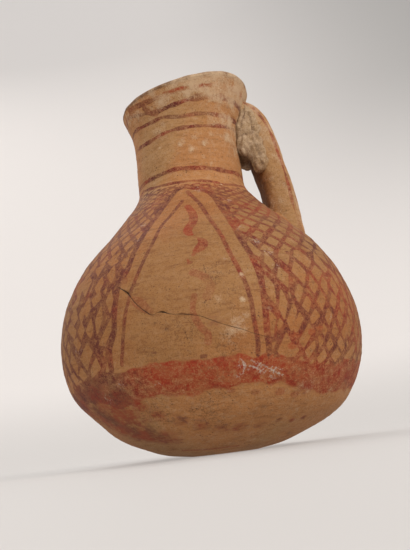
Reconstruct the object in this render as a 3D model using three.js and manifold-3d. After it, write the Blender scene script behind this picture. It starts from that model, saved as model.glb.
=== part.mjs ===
// A painted pottery pitcher, modelled as the clay pieces that the potter joined.
// Millimetres, +Z up, the origin on the ground under the middle of the base.
// Azimuths are in degrees from -Y, the front, towards +X, the side of the handle.

import * as THREE from "three";
import { mergeVertices } from "three/addons/utils/BufferGeometryUtils.js";
import Module from "manifold-3d";

const wasm = await Module();
wasm.setup();

// Height of each clay piece of the wall, from the ground up
const baseHeight = 9.5;
const bowlHeight = 22;
const bellyHeight = 36;
const shoulderHeight = 51;
const neckHeight = 33;
const rimHeight = 16.3;

// Heights of the seams between them
const bowlSeam = baseHeight + bowlHeight;
const bellySeam = bowlSeam + bellyHeight;
const neckSeam = bellySeam + shoulderHeight;
const rimSeam = neckSeam + neckHeight;
const lipHeight = rimSeam + rimHeight;

// Outer radii, from the ground up
const footRadius = 15;
const footEdgeRadius = 25;
const slabRadius = 34;
const baseRadius = 44.9;
const underRadius = 53.9;
const bowlRadius = 64.3;
const bellyRadius = 67.2;
const bellyTopRadius = 64;
const shoulderRadius = 54.9;
const neckFootRadius = 42;
const neckRootRadius = 27;
const neckRadius = 25.4;
const rimRootRadius = 26.2;
const rimRadius = 32.2;

// Where those that aren't at a seam lie, as shares of the height of their piece
const footEdgeShare = 0.168;
const slabShare = 0.495;
const underShare = 0.318;
const bellyShare = 0.5;
const shoulderShare = 0.353;
const neckFootShare = 0.637;
const neckShare = 0.348;

// Walls
const wall = 6;
const neckWall = 5.5;
const lipWall = 4.6;

// What the hand left: an off-centre neck, a fuller lower side, an oval rim and its wave
const neckShift = -0.4;
const underShift = 1.8;
const rimShift = 1.9;
const rimTilt = 3.6;
const rimTiltAzimuth = 65;
const rimWave = 1.6;
const rimWaveAzimuth = 70;

// Handle: an oval section in one upright plane. Its middle line is set by how far out
// of the neck it lies and how far under the lip, down to its root under the neck's seam.
const handleAzimuth = 97;
const handleThickness = 15.5;
const handleWidth = 21;
const handleFlare = 1.08;
const handleTopDrop = 6;
const handleExitOffset = 5.2;
const handleExitDrop = 10;
const handleElbowOffset = 10.1;
const handleElbowDrop = 19.5;
const handleBendOffset = 14;
const handleBendDrop = 38;
const handleOffset = 16.6;
const handleRootDrop = 19.2;
const jointGap = 0.3;

// Clay that fills the upper joint: two balls, a saddle, a dab and a tongue
const wadDrop = 18.5;
const wadOffset = 4.6;
const wadDepth = 14;
const wadWidth = 12;
const wadHeight = 20;
const wadApart = 18;
const saddleDrop = 7.4;
const saddleWidth = 25;
const saddleHeight = 13;
const dabRise = 10;
const dabDepth = 9.8;
const dabWidth = 9.6;
const dabHeight = 12;
const tongueDrop = 11.5;
const tongueOffset = 4;
const tongueDepth = 7;
const tongueThickness = 5;
const tongueLength = 21;
const tongueLean = 12.5;

// Clay smeared round the lower joint
const filletSpread = 5;
const filletHeight = 5;
const filletOuterShare = 0.5;
const filletOverlap = 1.5;

// Fineness of the faceted surfaces
const roundSteps = 54;
const handleSteps = 18;
const handleSides = 20;
const filletSteps = 5;
const lipSteps = 4;
const lumpSides = 16;
const cutterSteps = 40;

const radians = THREE.MathUtils.degToRad;

// Profile: radius against height, as one smooth curve through the named sizes
const footEdgeLevel = baseHeight * footEdgeShare;
const slabLevel = baseHeight * slabShare;
const underLevel = baseHeight + bowlHeight * underShare;
const bellyLevel = bowlSeam + bellyHeight * bellyShare;
const shoulderLevel = bellySeam + shoulderHeight * shoulderShare;
const neckFootLevel = bellySeam + shoulderHeight * neckFootShare;
const neckLevel = neckSeam + neckHeight * neckShare;
const profile = [
  [0, footRadius],
  [footEdgeLevel, footEdgeRadius],
  [slabLevel, slabRadius],
  [baseHeight, baseRadius],
  [underLevel, underRadius],
  [bowlSeam, bowlRadius],
  [bellyLevel, bellyRadius],
  [bellySeam, bellyTopRadius],
  [shoulderLevel, shoulderRadius],
  [neckFootLevel, neckFootRadius],
  [neckSeam, neckRootRadius],
  [neckLevel, neckRadius],
  [rimSeam, rimRootRadius],
  [lipHeight, rimRadius],
];

function slopeAt(i) {
  const before = profile[Math.max(i - 1, 0)];
  const after = profile[Math.min(i + 1, profile.length - 1)];
  return (after[1] - before[1]) / (after[0] - before[0]);
}

function profileRadius(z) {
  const height = THREE.MathUtils.clamp(z, 0, lipHeight);
  let i = 0;
  while (i < profile.length - 2 && profile[i + 1][0] < height) i += 1;
  const [z0, r0] = profile[i];
  const [z1, r1] = profile[i + 1];
  const span = z1 - z0;
  const t = (height - z0) / span;
  const bend0 = slopeAt(i) * span;
  const bend1 = slopeAt(i + 1) * span;
  const square = t * t;
  const cube = square * t;
  return (
    r0 * (2 * cube - 3 * square + 1) +
    bend0 * (cube - 2 * square + t) +
    r1 * (3 * square - 2 * cube) +
    bend1 * (cube - square)
  );
}

function profileSlope(z) {
  const step = 0.5;
  return (profileRadius(z + step) - profileRadius(z - step)) / (2 * step);
}

// How far the hand pushed the wall towards the handle at a height
function sideShift(z) {
  const low = Math.exp(-(((z - underLevel) / baseHeight) ** 2));
  const neck = THREE.MathUtils.smoothstep(z, bellyLevel, shoulderLevel);
  const rim = THREE.MathUtils.clamp((z - neckSeam) / (lipHeight - neckSeam), 0, 1) ** 3;
  return underShift * low + neckShift * neck + (rimShift - neckShift) * rim;
}

// The wave of the lip lifts everything above the rim's seam
function lift(z, azimuth) {
  const share = THREE.MathUtils.smoothstep(z, rimSeam, lipHeight);
  const tilt = rimTilt * Math.cos(radians(azimuth - rimTiltAzimuth));
  const wave = rimWave * Math.cos(2 * radians(azimuth - rimWaveAzimuth));
  return share * (tilt + wave);
}

function wallAt(z) {
  const toNeck = THREE.MathUtils.smoothstep(z, neckFootLevel, neckSeam);
  const toLip = THREE.MathUtils.smoothstep(z, rimSeam, lipHeight);
  return wall + (neckWall - wall) * toNeck + (lipWall - neckWall) * toLip;
}

function outerRadius(z, azimuth) {
  return profileRadius(z) + sideShift(z) * Math.sin(radians(azimuth));
}

function innerRadius(z, azimuth) {
  const lean = Math.hypot(1, profileSlope(z));
  return outerRadius(z, azimuth) - wallAt(z) * lean;
}

function place(radius, azimuth, z) {
  const a = radians(azimuth);
  return new THREE.Vector3(radius * Math.sin(a), -radius * Math.cos(a), z);
}

function azimuthAt(step, steps) {
  return (360 * step) / steps;
}

function heights(from, to, count) {
  return Array.from({ length: count + 1 }, (_, i) => from + ((to - from) * i) / count);
}

function ring(radiusAt, z, steps = roundSteps) {
  return Array.from({ length: steps }, (_, i) => {
    const azimuth = azimuthAt(i, steps);
    return place(radiusAt(z, azimuth), azimuth, z + lift(z, azimuth));
  });
}

// One closed surface through rings of equal length. It ends in a point at each end,
// or joins its last ring to its first.
function skin(rings, firstPoint, lastPoint) {
  const count = rings[0].length;
  const points = rings.flat();
  const faces = [];
  const joins = firstPoint ? rings.length - 1 : rings.length;
  for (let k = 0; k < joins; k += 1) {
    const low = k * count;
    const high = ((k + 1) % rings.length) * count;
    for (let i = 0; i < count; i += 1) {
      const j = (i + 1) % count;
      faces.push(low + i, low + j, high + j);
      faces.push(low + i, high + j, high + i);
    }
  }
  if (firstPoint) {
    const first = points.push(firstPoint) - 1;
    const last = points.push(lastPoint) - 1;
    const top = (rings.length - 1) * count;
    for (let i = 0; i < count; i += 1) {
      const j = (i + 1) % count;
      faces.push(first, j, i);
      faces.push(last, top + i, top + j);
    }
  }
  const geometry = new THREE.BufferGeometry();
  geometry.setFromPoints(points);
  geometry.setIndex(faces);
  return geometry;
}

function toSolid(geometry) {
  const bare = geometry.clone();
  bare.deleteAttribute("normal");
  bare.deleteAttribute("uv");
  const merged = mergeVertices(bare, 1e-4);
  return new wasm.Manifold(
    new wasm.Mesh({
      numProp: 3,
      vertProperties: new Float32Array(merged.attributes.position.array),
      triVerts: new Uint32Array(merged.index.array),
    }),
  );
}

function toGeometry(solid) {
  const mesh = solid.getMesh();
  const geometry = new THREE.BufferGeometry();
  const array = new Float32Array(mesh.numVert * 3);
  for (let i = 0; i < mesh.numVert; i += 1) {
    array.set(mesh.vertProperties.subarray(i * mesh.numProp, i * mesh.numProp + 3), i * 3);
  }
  geometry.setAttribute("position", new THREE.BufferAttribute(array, 3));
  geometry.setIndex(new THREE.BufferAttribute(mesh.triVerts, 1));
  geometry.computeVertexNormals();
  return geometry;
}

// A course of the wall: up its outside and down its inside
function course(from, to, count) {
  const outside = heights(from, to, count).map((z) => ring(outerRadius, z));
  const inside = heights(to, from, count).map((z) => ring(innerRadius, z));
  return skin([...outside, ...inside]);
}

// The base slab: flat under the foot, rounded up to its seam, flat inside
function baseSlab() {
  const outside = [0, footEdgeLevel / 2, footEdgeLevel, slabLevel, baseHeight];
  const rings = outside.map((z) => ring(outerRadius, z));
  rings.push(ring(innerRadius, baseHeight));
  return skin(rings, new THREE.Vector3(0, 0, 0), new THREE.Vector3(0, 0, baseHeight));
}

// The rim: a course whose lip is rounded over half a circle
function rimCourse(count) {
  const roundStart = lipHeight - lipWall / 2;
  const outside = heights(rimSeam, roundStart, count).map((z) => ring(outerRadius, z));
  const inside = heights(roundStart, rimSeam, count).map((z) => ring(innerRadius, z));
  const lip = [];
  for (let k = 1; k < lipSteps; k += 1) {
    const turn = (Math.PI * k) / lipSteps;
    const rise = (lipWall / 2) * Math.sin(turn);
    const share = (1 - Math.cos(turn)) / 2;
    const radiusAt = (z, azimuth) => {
      const outer = outerRadius(roundStart, azimuth);
      return outer + (innerRadius(roundStart, azimuth) - outer) * share;
    };
    lip.push(ring(radiusAt, roundStart + rise));
  }
  return skin([...outside, ...lip, ...inside]);
}

// The whole outside of the jug, grown by a gap, as the tool that trims what joins it
function trimTool(gap) {
  const top = lipHeight + handleThickness;
  const levels = heights(baseHeight, top, cutterSteps);
  const grown = (z, azimuth) => outerRadius(z, azimuth) + gap * Math.hypot(1, profileSlope(z));
  const rings = levels.map((z) => ring(grown, z));
  const cap = new THREE.Vector3(0, 0, top);
  return toSolid(skin(rings, new THREE.Vector3(0, 0, baseHeight), cap));
}

// A point in the handle's plane, or to the front of it by a negative across
function beside(reach, across, z) {
  return place(reach, handleAzimuth, z).add(place(-across, handleAzimuth - 90, 0));
}

// The path of the handle: out of the neck, down, and into the shoulder
const rootHeight = neckSeam - handleRootDrop;
const rootReach = profileRadius(rootHeight);
const bendHeight = lipHeight - handleBendDrop;
const handlePath = new THREE.CatmullRomCurve3(
  [
    beside(neckRadius - neckWall / 2, 0, lipHeight - handleTopDrop),
    beside(neckRadius + handleExitOffset, 0, lipHeight - handleExitDrop),
    beside(neckRadius + handleElbowOffset, 0, lipHeight - handleElbowDrop),
    beside(neckRadius + handleBendOffset, 0, bendHeight),
    beside(neckRadius + handleOffset, 0, (bendHeight + rootHeight) / 2),
    beside(rootReach, 0, rootHeight),
    beside(rootReach, 0, rootHeight - handleThickness),
  ],
  false,
  "centripetal",
);

// A tube of oval section whose ends spread towards what they join
function handleTube(grow) {
  const across = beside(0, -1, 0);
  const rings = [];
  for (let k = 0; k <= handleSteps; k += 1) {
    const t = k / handleSteps;
    const centre = handlePath.getPointAt(t);
    const along = handlePath.getTangentAt(t);
    const out = new THREE.Vector3().crossVectors(across, along).normalize();
    const spread = 1 + (handleFlare - 1) * Math.abs(2 * t - 1) ** 6;
    const halfThick = (handleThickness / 2) * spread + grow;
    const halfWide = (handleWidth / 2) * spread + grow;
    rings.push(ovalRing(centre, out, across, halfThick, halfWide));
  }
  return toSolid(skin(rings, handlePath.getPointAt(0), handlePath.getPointAt(1)));
}

function ovalRing(centre, first, second, firstHalf, secondHalf) {
  return Array.from({ length: handleSides }, (_, i) => {
    const turn = (2 * Math.PI * i) / handleSides;
    const point = centre.clone();
    point.addScaledVector(first, firstHalf * Math.cos(turn));
    return point.addScaledVector(second, secondHalf * Math.sin(turn));
  });
}

// A pressed ball of clay in the handle's plane, turned in that plane by a lean
function lump(centre, depth, width, height, lean = 0) {
  const geometry = new THREE.SphereGeometry(0.5, lumpSides, lumpSides / 2);
  geometry.scale(depth, width, height);
  geometry.rotateY(lean);
  geometry.rotateZ(radians(handleAzimuth - 90));
  geometry.translate(centre.x, centre.y, centre.z);
  return toSolid(geometry);
}

// The upper wad: a ball in front, one behind, a saddle under the handle that joins them,
// a dab up to the rim and a tongue that runs down the handle's front
function upperWad() {
  const middle = lipHeight - wadDrop;
  const side = wadApart / 2;
  const spot = (out, across, rise) => beside(neckRadius + wadOffset + out, across, middle + rise);
  const front = lump(spot(0, -side, 0), wadDepth, wadWidth, wadHeight);
  const back = lump(spot(0, side, 0), wadDepth, wadWidth, wadHeight);
  const saddle = lump(spot(0, 0, -saddleDrop), wadDepth, saddleWidth, saddleHeight);
  const dab = lump(spot(0, -side, dabRise), dabDepth, dabWidth, dabHeight);
  const tongue = lump(
    spot(tongueOffset, -side, -tongueDrop),
    tongueDepth,
    tongueThickness,
    tongueLength,
    radians(tongueLean),
  );
  return front.add(back).add(saddle).add(dab).add(tongue);
}

// The lower fillet: rings round the handle's foot that draw in along the shoulder and
// climb the handle, less so on its outer side
function lowerFillet() {
  const slope = profileSlope(rootHeight);
  const halfDown = (handleThickness / 2) * Math.hypot(1, 1 / slope);
  const lean = Math.hypot(1, slope);
  const ringAt = (spread, rise) =>
    Array.from({ length: handleSides }, (_, i) => {
      const turn = (2 * Math.PI * i) / handleSides;
      const share = 1 - ((1 - filletOuterShare) * (1 + Math.cos(turn))) / 2;
      const down = (halfDown + spread * share) * Math.cos(turn);
      const aside = (handleWidth / 2 + spread * share) * Math.sin(turn);
      const z = rootHeight - down / lean;
      const azimuth = handleAzimuth + THREE.MathUtils.radToDeg(aside / rootReach);
      return place(outerRadius(z, azimuth), azimuth, z + rise * share);
    });
  const rings = [ringAt(filletSpread, -wall)];
  for (let k = 0; k <= filletSteps; k += 1) {
    const share = k / filletSteps;
    const spread = filletSpread * (1 - share) - filletOverlap * share;
    rings.push(ringAt(spread, filletHeight * share ** 1.5));
  }
  const sunk = beside(rootReach, 0, rootHeight - wall);
  const top = beside(rootReach, 0, rootHeight + filletHeight);
  return toSolid(skin(rings, sunk, top));
}

const clayColours = {
  base_pad: "#b98357",
  lower_bowl: "#bb8153",
  belly_course: "#c58e5f",
  shoulder_course: "#c68c60",
  neck_tube: "#c99467",
  rim_collar: "#bb8c66",
  strap_handle: "#bf9166",
  upper_luting_wad: "#ae9b84",
  lower_luting_fillet: "#bd8a5e",
};

function makePiece(name, geometry) {
  const material = new THREE.MeshStandardMaterial({
    color: clayColours[name],
    roughness: 0.9,
    metalness: 0,
  });
  const mesh = new THREE.Mesh(geometry, material);
  mesh.name = name;
  return mesh;
}

const jugTool = trimTool(jointGap);
const handleTool = handleTube(jointGap);
const handleSolid = handleTube(0).subtract(jugTool);
const wadSolid = upperWad().subtract(jugTool).subtract(handleTool);
const filletSolid = lowerFillet().subtract(jugTool).subtract(handleTool);

const pitcher = new THREE.Group();
pitcher.add(
  makePiece("base_pad", baseSlab()),
  makePiece("lower_bowl", course(baseHeight, bowlSeam, 5)),
  makePiece("belly_course", course(bowlSeam, bellySeam, 6)),
  makePiece("shoulder_course", course(bellySeam, neckSeam, 9)),
  makePiece("neck_tube", course(neckSeam, rimSeam, 4)),
  makePiece("rim_collar", rimCourse(5)),
  makePiece("strap_handle", toGeometry(handleSolid)),
  makePiece("upper_luting_wad", toGeometry(wadSolid)),
  makePiece("lower_luting_fillet", toGeometry(filletSolid)),
);

export default pitcher;
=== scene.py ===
import math

import bpy
import numpy as np
from mathutils import Matrix, Vector


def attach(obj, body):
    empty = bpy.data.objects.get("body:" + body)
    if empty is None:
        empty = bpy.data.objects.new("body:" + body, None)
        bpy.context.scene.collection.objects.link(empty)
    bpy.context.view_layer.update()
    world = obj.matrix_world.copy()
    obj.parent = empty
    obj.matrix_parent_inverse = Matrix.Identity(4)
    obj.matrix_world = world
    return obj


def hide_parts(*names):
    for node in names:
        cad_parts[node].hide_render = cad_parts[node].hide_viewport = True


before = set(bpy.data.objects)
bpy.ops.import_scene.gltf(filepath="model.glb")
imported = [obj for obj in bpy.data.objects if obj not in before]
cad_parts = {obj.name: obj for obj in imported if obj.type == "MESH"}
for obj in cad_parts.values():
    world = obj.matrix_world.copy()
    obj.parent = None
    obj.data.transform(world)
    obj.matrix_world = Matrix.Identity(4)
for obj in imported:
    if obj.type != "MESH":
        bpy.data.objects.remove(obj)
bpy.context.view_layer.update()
mm = 0.001

# Azimuths are in degrees from -Y, the front, towards +X, the handle's side. Heights are in mm.


def smooth(low, high, x):
    t = np.clip((np.asarray(x, float) - low) / (high - low), 0, 1)
    return t * t * (3 - 2 * t)


def turned(azimuth):
    a = np.radians(azimuth)
    return np.sin(a), -np.cos(a)


def aroundFrom(azimuth, start):
    return (azimuth - start + 180) % 360 - 180


def curveBetween(start, stop, leave, arrive, t):
    # a cubic from start to stop, with its slopes at both ends
    square = 3 * (stop - start) - 2 * leave - arrive
    return start + leave * t + square * t**2 + (2 * (start - stop) + leave + arrive) * t**3


def padEnds(knots):
    return np.vstack([2 * knots[0] - knots[1], knots, 2 * knots[-1] - knots[-2]])


def smoothLine(points, parts=6):
    # one rounded line through the given points, each stretch cut in parts
    knots = np.array(points, float)
    padded = padEnds(knots)
    slopes = (padded[2:] - padded[:-2]) / 2
    t = np.linspace(0, 1, parts, endpoint=False)[:, None]
    rows = [curveBetween(*ends, t) for ends in zip(knots, knots[1:], slopes, slopes[1:])]
    return np.vstack(rows + [knots[-1:]])


def ripple(azimuth, run, seed, waves, turns, lengths=(1e6, 2e6)):
    # uneven waves round and along the wall, about 1 high
    rng = np.random.default_rng(seed)
    total = np.zeros(np.broadcast(azimuth, run).shape)
    for _ in range(waves):
        count = rng.integers(turns[0], turns[1] + 1)
        bend = 2 * math.pi / rng.uniform(*lengths) * rng.choice([-1, 1])
        total += rng.normal() * np.cos(count * np.radians(azimuth) + bend * run + rng.uniform(0, 2 * math.pi))
    return total / math.sqrt(waves / 2)


jug = {
    "profile": [  # height and outer radius
        (0, 15), (1.6, 25), (4.7, 34), (9.5, 44.9), (16.5, 53.9), (31.5, 64.3), (49.5, 67.2),
        (67.5, 64), (85.5, 54.9), (100, 42), (118.5, 27), (130, 25.4), (151.5, 26.2), (167.8, 32.2),
    ],
    "baseTop": 9.5,
    "bowlSeam": 31.5,
    "bellySeam": 67.5,
    "neckSeam": 118.5,
    "rimSeam": 151.5,
    "lip": 167.8,
    "wall": 6,
    "neckWall": 5.5,
    "neckWallFrom": 100,
    "lipWall": 4.6,
    "lowShift": (1.8, 16.5, 9.5),  # towards the handle: how far, the height and its reach
    "neckShift": (-0.4, 49.5, 85.5),  # how far, and the heights where it starts and is full
    "rimShift": 1.9,
    "tilt": (3.6, 65),  # how much the mouth rises, and where
    "wave": (1.6, 70),
    "columns": [(-180, 1.0), (-80, 0.62), (-37, 0.34), (27, 0.6), (95, 1.0), (180, 1.0)],  # closer in front
    "rowGap": 0.8,  # of the outer mesh
    "fineRowGap": 0.42,  # where the crack runs
    "innerRowGap": 3,
    "underRowGap": 1.5,
    "lipRows": 12,
    "floorRows": 12,
}
courseEdges = [0] + [jug[seam] for seam in ("baseTop", "bowlSeam", "bellySeam", "neckSeam", "rimSeam")]
roundStart = jug["lip"] - jug["lipWall"] / 2
profileZ, profileR = np.array(jug["profile"], float).T
paddedZ, paddedR = np.pad(profileZ, 1, "edge"), np.pad(profileR, 1, "edge")
profileSlopes = (paddedR[2:] - paddedR[:-2]) / (paddedZ[2:] - paddedZ[:-2])


def profileRadius(z):
    z = np.clip(z, 0, jug["lip"])
    i = np.clip(np.searchsorted(profileZ, z, side="left") - 1, 0, len(profileZ) - 2)
    span = profileZ[i + 1] - profileZ[i]
    leave, arrive = profileSlopes[i] * span, profileSlopes[i + 1] * span
    return curveBetween(profileR[i], profileR[i + 1], leave, arrive, (z - profileZ[i]) / span)


def profileSlope(z):
    return profileRadius(z + 0.5) - profileRadius(z - 0.5)


def sideShift(z):
    low, lowAt, lowReach = jug["lowShift"]
    neck, neckFrom, neckTo = jug["neckShift"]
    toLip = np.clip((z - jug["neckSeam"]) / (jug["lip"] - jug["neckSeam"]), 0, 1)
    belly = low * np.exp(-(((z - lowAt) / lowReach) ** 2)) + neck * smooth(neckFrom, neckTo, z)
    return belly + (jug["rimShift"] - neck) * toLip**3


def lift(z, azimuth):
    tilt, tiltFrom = jug["tilt"]
    wave, waveFrom = jug["wave"]
    waves = wave * np.cos(2 * np.radians(azimuth - waveFrom))
    return smooth(jug["rimSeam"], jug["lip"], z) * (tilt * np.cos(np.radians(azimuth - tiltFrom)) + waves)


def wallAt(z):
    toNeck = (jug["neckWall"] - jug["wall"]) * smooth(jug["neckWallFrom"], jug["neckSeam"], z)
    return jug["wall"] + toNeck + (jug["lipWall"] - jug["neckWall"]) * smooth(jug["rimSeam"], jug["lip"], z)


def outerRadius(z, azimuth):
    return profileRadius(z) + sideShift(z) * np.sin(np.radians(azimuth))


def innerRadius(z, azimuth):
    return outerRadius(z, azimuth) - wallAt(z) * np.hypot(1, profileSlope(z))


# the way up the outside, measured along the wall
fineZ = np.linspace(0, jug["lip"], 4001)
fineRun = np.concatenate([[0], np.cumsum(np.hypot(np.diff(fineZ), np.diff(profileRadius(fineZ))))])
columns = np.concatenate([
    np.linspace(start, stop, round((stop - start) / gap), endpoint=False)
    for (start, gap), (stop, _) in zip(jug["columns"], jug["columns"][1:])
])


def runAt(z):
    return np.interp(z, fineZ, fineRun)


def rowsBetween(low, high, gap, share):
    # rows at equal steps along the wall
    start, stop = runAt([low, high])
    steps = max(math.ceil(abs(stop - start) / gap), 2)
    levels = np.interp(np.linspace(start, stop, steps + 1), fineRun, fineZ)
    return [(z, z, share, math.nan) for z in levels]


def buildRows():
    # each row: height for the lift, height for the radii, share of the way inside, radius where it is fixed
    rows, ends = [(0, 0, 0, radius) for radius in np.arange(jug["underRowGap"], 14.9, jug["underRowGap"])], {}
    tops = courseEdges[1:] + [roundStart]
    for low, high in zip(courseEdges, tops):
        ends["outer", low] = len(rows)
        rows += rowsBetween(low, high, jug["fineRowGap" if low == jug["bowlSeam"] else "rowGap"], 0)[:-1]
    for turn in np.linspace(0, math.pi, jug["lipRows"] + 1):
        rise = jug["lipWall"] / 2 * math.sin(turn)
        rows.append((roundStart + rise, roundStart, (1 - math.cos(turn)) / 2, math.nan))
    for low, high in zip(courseEdges[:0:-1], tops[:0:-1]):
        rows += rowsBetween(high, low, jug["innerRowGap"], 1)[1:]
        ends["inner", low] = len(rows) - 1
    inside = float(innerRadius(jug["baseTop"], 0))
    floor = np.linspace(inside, 0, jug["floorRows"] + 2)[1:-1]
    return rows + [(jug["baseTop"], jug["baseTop"], 1, radius) for radius in floor], ends


def wallGrid():
    level, at, share, fixed = np.array(rowList, float).T[:, :, None]
    outer = outerRadius(at, columns)
    radius = outer + (innerRadius(at, columns) - outer) * share
    radius = np.where(np.isnan(fixed), radius, fixed)
    east, north = turned(columns)
    return np.stack([radius * east, radius * north, level + lift(level, columns)], -1), at, share


def gridNormals(points):
    across = np.roll(points, -1, 1) - np.roll(points, 1, 1)
    normals = np.cross(across, np.gradient(points, axis=0))
    return normals / np.maximum(np.linalg.norm(normals, axis=-1, keepdims=True), 1e-9)


print("jug: wall grid")
rowList, rowMarks = buildRows()
wallPoints, rowHeight, rowShare = wallGrid()
wallNormals = gridNormals(wallPoints)
azimuths, heights, outside = np.broadcast_arrays(columns, rowHeight, rowShare < 0.4)
runs = runAt(heights)
scales = np.radians(1) * outerRadius(heights, azimuths)  # mm for one degree round the wall

plainMarks = {  # what a point carries where nothing is painted, worn, dirty or shaded
    "paint": -4.0,
    "tint": 0.4,  # 0 maroon, 1 orange-red
    "cover": 1.0,
    "pale": 0.0,
    "dirtAndShade": 0.0,
    "wash": 0.0,
    "chalk": 0.0,
    "warm": 0.5,
    "shade": 0.0,
    "crackSide": 4.0,
    "crackWide": -1.0,
}
painted = {name: np.full(azimuths.shape, plain) for name, plain in plainMarks.items()}


def wallRipple(seed, waves, turns, lengths):
    return ripple(azimuths, runs, seed, waves, turns, lengths)


def ringRipple(seed, waves, turns):
    return ripple(azimuths, 0, seed, waves, turns)


def lay(field, tint, cover):
    # paint goes on where it is deeper than what is there
    on = outside & (field > painted["paint"])
    for name, value in (("paint", field), ("tint", tint), ("cover", cover)):
        painted[name][on] = np.broadcast_to(value, field.shape)[on]


def offSegment(px, py, dx, dy):
    # distance from a segment that starts at 0, and the share of the way along it
    t = np.clip((px * dx + py * dy) / (dx**2 + dy**2 + 1e-9), 0, 1)
    return np.hypot(px - t * dx, py - t * dy), t


def strokeFields(points, halfWidths):
    # depth inside a brush stroke, the signed distance to its line and its half width there
    spots, levels = np.array(points, float).T
    widths = np.broadcast_to(np.asarray(halfWidths, float), len(spots))
    line = smoothLine(np.stack([spots, runAt(levels), widths], 1))
    low, high, step = line.min(0), line.max(0), np.diff(line, axis=0)
    middle = (low[0] + high[0]) / 2
    around = aroundFrom(azimuths, middle)
    near = np.abs(around) < (high[0] - low[0]) / 2 + 5 / scales
    near &= (runs > low[1] - 5) & (runs < high[1] + 5)
    scale = scales[near, None]
    px, py = (around[near, None] + middle - line[:-1, 0]) * scale, runs[near, None] - line[:-1, 1]
    dx, dy = step[:, 0] * scale, step[:, 1]
    gap, t = offSegment(px, py, dx, dy)
    width = line[:-1, 2] + t * step[:, 2]
    side = np.where(dx * py - dy * px >= 0, gap, -gap)
    nearest = np.arange(len(gap)), gap.argmin(1)
    fields = [np.full(azimuths.shape, plain) for plain in (-4.0, 4.0, -1.0)]
    for field, values in zip(fields, ((width - gap).max(1, initial=-4), side[nearest], width[nearest])):
        field[near] = values
    return fields


def brush(points, halfWidths, tint, cover, turn=0):
    lay(strokeFields([(a + turn, z) for a, z in points], halfWidths)[0], tint, cover)


def roundLine(points, level):
    # a line all round the jug: traced in front, level behind
    knots = sorted(points)
    (first, start), (last, _) = knots[0], knots[-1]
    line = smoothLine(knots + [(last + 45, level), (180, level), (first + 315, level), (first + 360, start)])
    return np.interp(azimuths, line[:, 0], runAt(line[:, 1]), period=360)


def lineAzimuth(points):
    spots, levels = np.array(points[::-1]).T
    return np.interp(heights, levels, spots)


bands = {  # height behind, half width, tint, cover and seed, then the line traced in front
    "upperRim": (161.5, 0.9, 0.7, 0.5, 21, [
        (-53, 161.8), (-35.2, 161.8), (-27.2, 161.5), (-13.8, 161.3), (0.2, 161.5), (15.2, 161.5),
        (28, 161.8),
    ]),
    "lowerRim": (157.5, 1.1, 0.3, 0.85, 22, [
        (-66.2, 161.8), (-46.2, 158), (-35.5, 156.3), (-25.8, 155.3), (-14.8, 155.8), (-4.5, 156.3),
        (11.8, 157.5), (28.2, 157.8), (48, 158),
    ]),
    "upperNeck": (151.5, 0.95, 0.4, 0.95, 23, [
        (-65, 153), (-47.2, 151.8), (-34.5, 151.5), (-22, 151.8), (-1.2, 150.5), (17.5, 151.3),
        (45.2, 151.3),
    ]),
    "middleNeck": (145.5, 0.9, 0.45, 0.9, 24, [
        (-60.8, 143.5), (-41, 143), (-23, 144.3), (-8, 145), (9.2, 145.3), (27.5, 145.8), (50.5, 146.8),
        (65.8, 147.3),
    ]),
    "lowerNeck": (124.8, 1.1, 0.6, 1.0, 25, [
        (-65, 124.8), (-32.2, 125), (-13, 125.5), (4, 124.8), (21.2, 124.5), (41.5, 124), (59.2, 124.8),
    ]),
    "neckRoot": (118.5, 0.95, 0.5, 0.95, 26, [
        (-59.8, 121.3), (-32, 119), (-9, 118), (9.8, 117.3), (25.2, 116.5), (33.2, 115.8),
    ]),
}
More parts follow.
